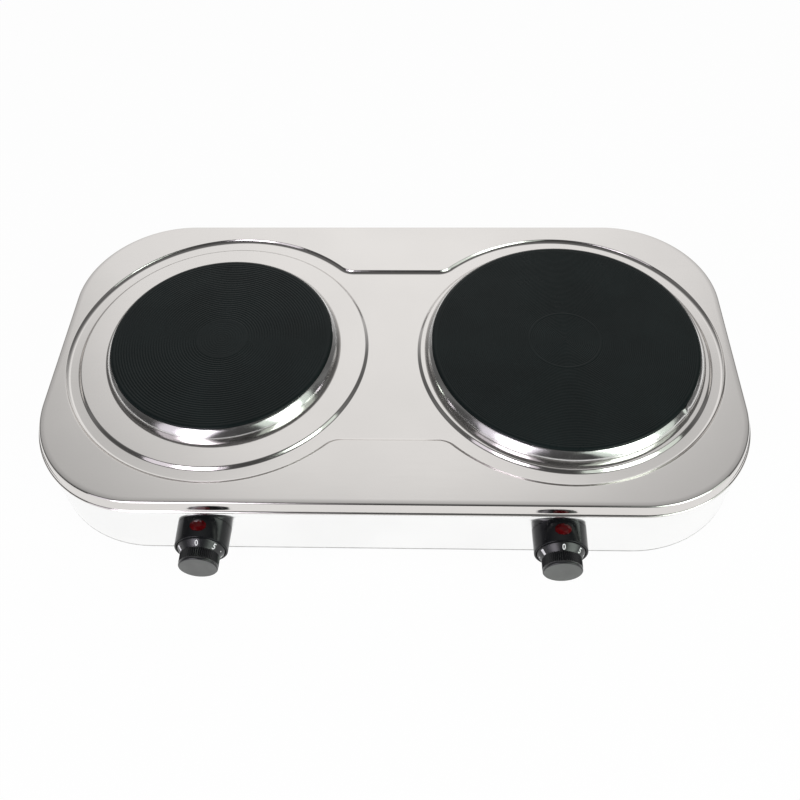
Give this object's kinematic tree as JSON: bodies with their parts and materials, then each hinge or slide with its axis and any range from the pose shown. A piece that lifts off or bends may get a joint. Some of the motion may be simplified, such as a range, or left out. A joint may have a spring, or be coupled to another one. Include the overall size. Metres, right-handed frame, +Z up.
{
  "type": "electric hot plate",
  "caption": "Electric hot plate: round cast-iron plates in spill rings on a pressed stainless steel case, with thermostat knobs and pilot lamps on the front wall.",
  "frame": {"origin": "floor under the middle of the overall length, width and depth", "axes": "+X to the right hand of the user, +Y to the back, +Z up"},
  "size_m": [0.482, 0.2974, 0.0753],
  "materials": {
    "cover_steel": "polished satin stainless",
    "wall_steel": "polished stainless",
    "base_steel": "dull zinc-coated",
    "iron_plate": "black heat-proof coating",
    "ring_steel": "mirror polished",
    "foot_rubber": "matte",
    "housing_plastic": "semi-gloss",
    "knob_plastic": "semi-gloss",
    "lens_red": "clear red",
    "lamp_glass": "clear",
    "coil_metal": "oxidised",
    "ceramic": "unglazed",
    "shaft_steel": "plain",
    "device_body": "unglazed",
    "gland_plastic": "matte",
    "block_plastic": "matte",
    "lead_sleeve": "silicone and glass fibre sleeve",
    "hardware_steel": "zinc-plated"
  },
  "bodies": {
    "base": {"base_plate": "base_steel", "clamp_bar_left": "hardware_steel", "clamp_bar_right": "hardware_steel", "clamp_nuts": "hardware_steel", "clamp_studs": "hardware_steel", "clamp_washers": "hardware_steel", "coil_insulation_left": "ceramic", "coil_insulation_right": "ceramic", "control_housing_left": "housing_plastic", "control_housing_right": "housing_plastic", "control_screws": "hardware_steel", "cord_gland": "gland_plastic", "cover_stud_nuts": "hardware_steel", "cover_studs": "hardware_steel", "earth_screw": "hardware_steel", "feed_lead_left": "lead_sleeve", "feed_lead_right": "lead_sleeve", "foot_front_left": "foot_rubber", "foot_front_right": "foot_rubber", "foot_rear_left": "foot_rubber", "foot_rear_right": "foot_rubber", "foot_screws": "hardware_steel", "gland_nut": "gland_plastic", "heating_coil_left": "coil_metal", "heating_coil_right": "coil_metal", "hot_plate_left": "iron_plate", "hot_plate_right": "iron_plate", "lamp_lead_left": "lead_sleeve", "lamp_lead_right": "lead_sleeve", "lamp_lens_left": "lens_red", "lamp_lens_right": "lens_red", "load_lead_left": "lead_sleeve", "load_lead_right": "lead_sleeve", "lower_housing": "wall_steel", "neon_lamp_left": "lamp_glass", "neon_lamp_right": "lamp_glass", "plate_cover_left": "hardware_steel", "plate_cover_right": "hardware_steel", "plate_terminal_left": "ceramic", "plate_terminal_right": "ceramic", "return_lead_left": "lead_sleeve", "return_lead_right": "lead_sleeve", "spill_ring_left": "ring_steel", "spill_ring_right": "ring_steel", "terminal_block": "block_plastic", "terminal_block_screws": "hardware_steel", "thermal_cutout_left": "device_body", "thermal_cutout_right": "device_body", "thermostat_left": "device_body", "thermostat_right": "device_body", "top_cover": "cover_steel"},
    "knob_left": {"control_knob_left": "knob_plastic", "thermostat_shaft_left": "shaft_steel"},
    "knob_right": {"control_knob_right": "knob_plastic", "thermostat_shaft_right": "shaft_steel"}
  },
  "joints": [
    {"name": "knob_left_turn", "type": "hinge", "parent": "base", "child": "knob_left", "pos_m": [-0.12, -0.13555, 0.0352], "axis": [0, 1, 0], "range_deg": [0, 310]},
    {"name": "knob_right_turn", "type": "hinge", "parent": "base", "child": "knob_right", "pos_m": [0.1101, -0.13555, 0.0352], "axis": [0, 1, 0], "range_deg": [0, 310]}
  ]
}
